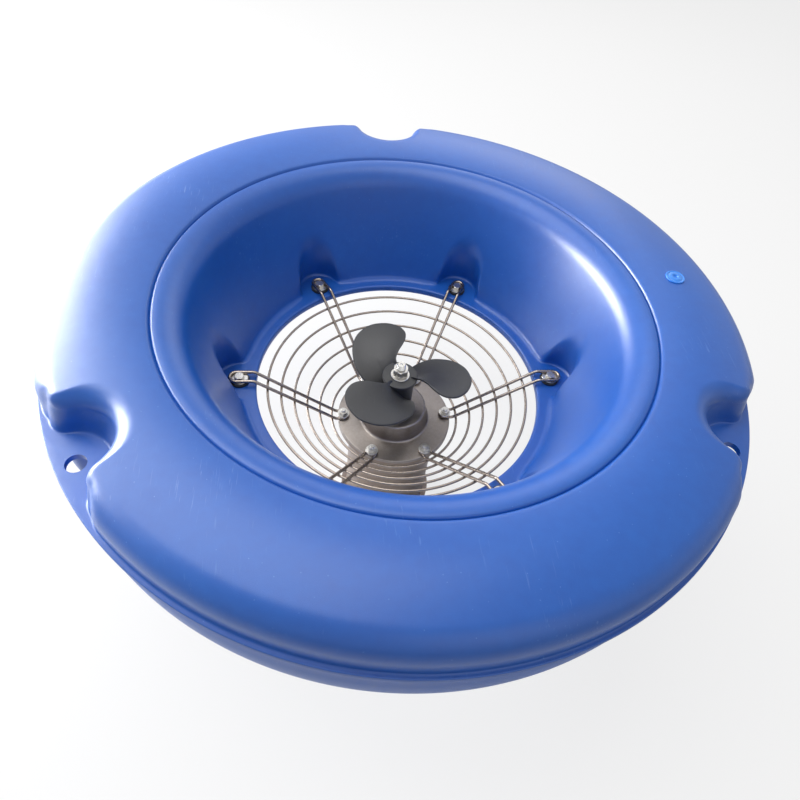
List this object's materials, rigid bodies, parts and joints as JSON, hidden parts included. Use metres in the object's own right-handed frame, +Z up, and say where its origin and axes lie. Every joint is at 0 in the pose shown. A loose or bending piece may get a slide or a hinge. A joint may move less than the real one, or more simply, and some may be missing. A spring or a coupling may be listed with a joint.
{
  "type": "surge aerator",
  "caption": "Floating surge aerator: a round blue float ring with a central bowl, a wire guard and a submersible motor that turns a lifting propeller.",
  "frame": {"origin": "centre of the motor's flat bottom, on the motor axis, the lowest point of the object", "axes": "+Z up along the motor axis towards the propeller, +Y towards the cable inlet and one of the mooring notches, +X to the right seen from the front"},
  "size_m": [0.96, 0.96, 0.508],
  "materials": {
    "float_blue": "satin",
    "plug_blue": "satin",
    "stainless_wire": "satin",
    "stainless_fastener": "satin",
    "stainless_cover": "satin",
    "stainless_casing": "satin",
    "black_pad": "matte",
    "black_nylon": "satin",
    "shaft_steel": "bright",
    "bearing_steel": "polished",
    "laminations": "matte",
    "copper_winding": "satin",
    "cage_aluminium": "satin",
    "seal_rubber": "matte",
    "seal_ring": "matte",
    "gland_nylon": "satin"
  },
  "bodies": {
    "float_and_motor": {"base_cover_oring": "seal_rubber", "base_cover_screws": "stainless_fastener", "bearing_circlip": "bearing_steel", "bearing_wave_washer": "bearing_steel", "cable_gland_body": "gland_nylon", "cable_gland_bush": "seal_rubber", "cable_gland_nut": "gland_nylon", "filler_plug": "plug_blue", "flange_bolts": "stainless_fastener", "flange_nuts": "stainless_fastener", "flange_washers": "stainless_fastener", "float_shell": "float_blue", "guard_ring_1": "stainless_wire", "guard_ring_2": "stainless_wire", "guard_ring_3": "stainless_wire", "guard_ring_4": "stainless_wire", "guard_ring_5": "stainless_wire", "guard_ring_6": "stainless_wire", "guard_spoke_1": "stainless_wire", "guard_spoke_2": "stainless_wire", "guard_spoke_3": "stainless_wire", "guard_spoke_4": "stainless_wire", "guard_spoke_5": "stainless_wire", "guard_spoke_6": "stainless_wire", "lower_bearing_outer_ring": "bearing_steel", "motor_base_cover": "stainless_cover", "motor_casing": "stainless_casing", "motor_top_cover": "stainless_cover", "seal_seat": "seal_ring", "seal_seat_cup": "seal_rubber", "spoke_backing_washers": "stainless_fastener", "spoke_bolts": "stainless_fastener", "spoke_lock_nuts": "stainless_fastener", "spoke_pads": "black_pad", "spoke_tab_washers": "stainless_fastener", "stator_core": "laminations", "stator_winding": "copper_winding", "top_cover_oring": "seal_rubber", "upper_bearing_outer_ring": "bearing_steel"},
    "rotor": {"rotor_shaft": "shaft_steel", "rotor_core": "laminations", "rotor_cage": "cage_aluminium", "upper_bearing_inner_ring": "bearing_steel", "lower_bearing_inner_ring": "bearing_steel", "seal_face": "seal_ring", "seal_bellows": "seal_rubber", "seal_collar": "stainless_fastener", "seal_spring": "stainless_fastener", "propeller": "black_nylon", "propeller_key": "shaft_steel", "propeller_washer": "stainless_fastener", "propeller_spring_washer": "stainless_fastener", "propeller_nut": "stainless_fastener"},
    "upper_ball_set": {"upper_bearing_balls": "bearing_steel", "upper_bearing_cage": "bearing_steel"},
    "lower_ball_set": {"lower_bearing_balls": "bearing_steel", "lower_bearing_cage": "bearing_steel"}
  },
  "joints": [
    {"name": "propeller_spin", "type": "hinge", "parent": "float_and_motor", "child": "rotor", "pos_m": [0, 0, 0], "axis": [0, 0, 1], "continuous": true},
    {"name": "upper_ball_travel", "type": "hinge", "parent": "float_and_motor", "child": "upper_ball_set", "pos_m": [0, 0, 0.214], "axis": [0, 0, 1], "continuous": true},
    {"name": "lower_ball_travel", "type": "hinge", "parent": "float_and_motor", "child": "lower_ball_set", "pos_m": [0, 0, 0.0165], "axis": [0, 0, 1], "continuous": true}
  ],
  "couplings": [
    {"joint": "upper_ball_travel", "follows": "propeller_spin", "ratio": 0.3925},
    {"joint": "lower_ball_travel", "follows": "propeller_spin", "ratio": 0.3925}
  ]
}
